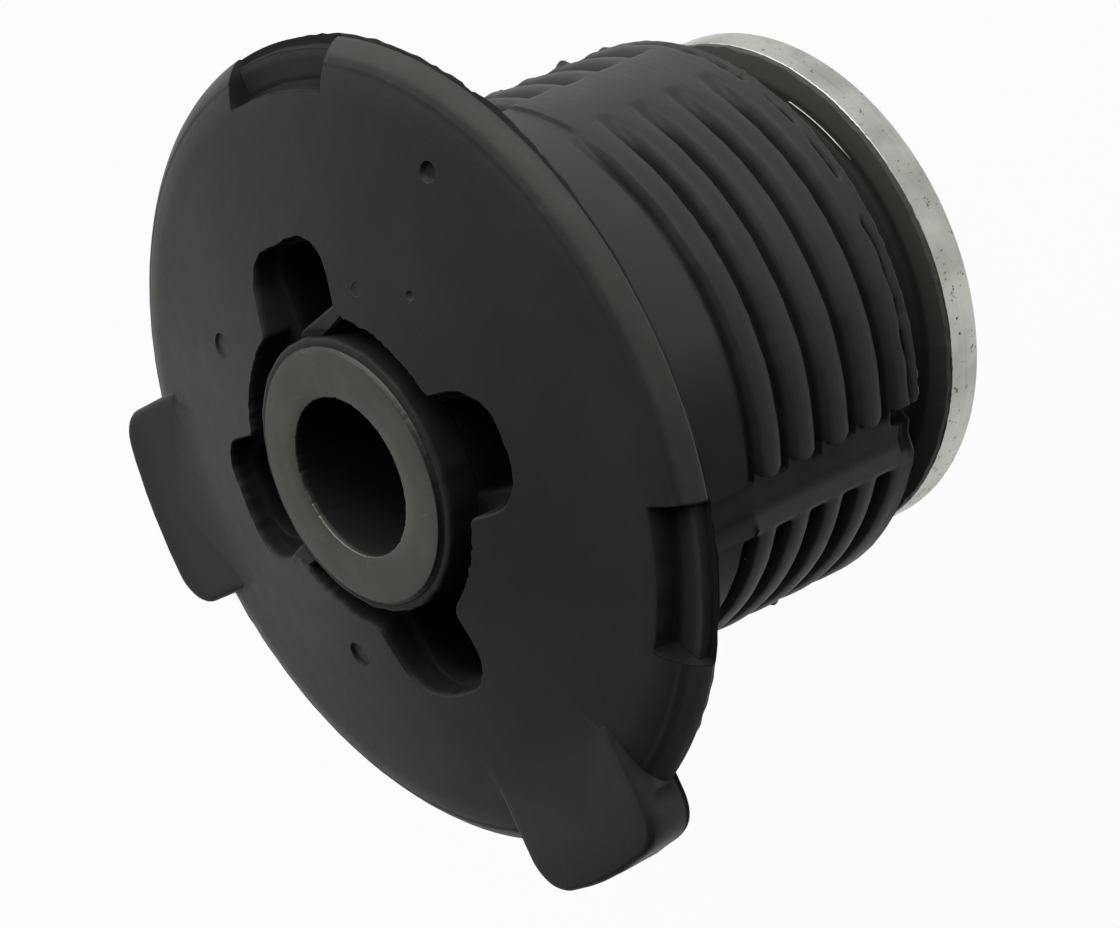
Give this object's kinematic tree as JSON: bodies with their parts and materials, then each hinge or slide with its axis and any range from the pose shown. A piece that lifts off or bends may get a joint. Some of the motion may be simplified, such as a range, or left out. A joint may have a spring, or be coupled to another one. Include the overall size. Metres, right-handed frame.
{
  "type": "rubber metal bush",
  "caption": "Bonded rubber and steel bush with a ribbed barrel, a coned front flange with pockets and side lugs, a bolt sleeve and a rear steel collar.",
  "frame": {"origin": "centre of the inner sleeve's bore in the plane of its rear end, which the bush stands on", "axes": "+Z along the bore from the rear end to the flanged front face; -X through the middle of one lug's side, +Y through the other"},
  "size_m": [0.0651, 0.0651, 0.0464],
  "materials": {
    "sleeve_steel": "dull cut steel with a thin phosphate grey film",
    "black_rubber": "matt moulded black rubber with thin flash along its parting lines",
    "collar_steel": "satin turned steel with small dark pits"
  },
  "bodies": {
    "root": {"inner_sleeve": "sleeve_steel", "rubber_body": "black_rubber", "outer_sleeve": "collar_steel"}
  },
  "joints": []
}
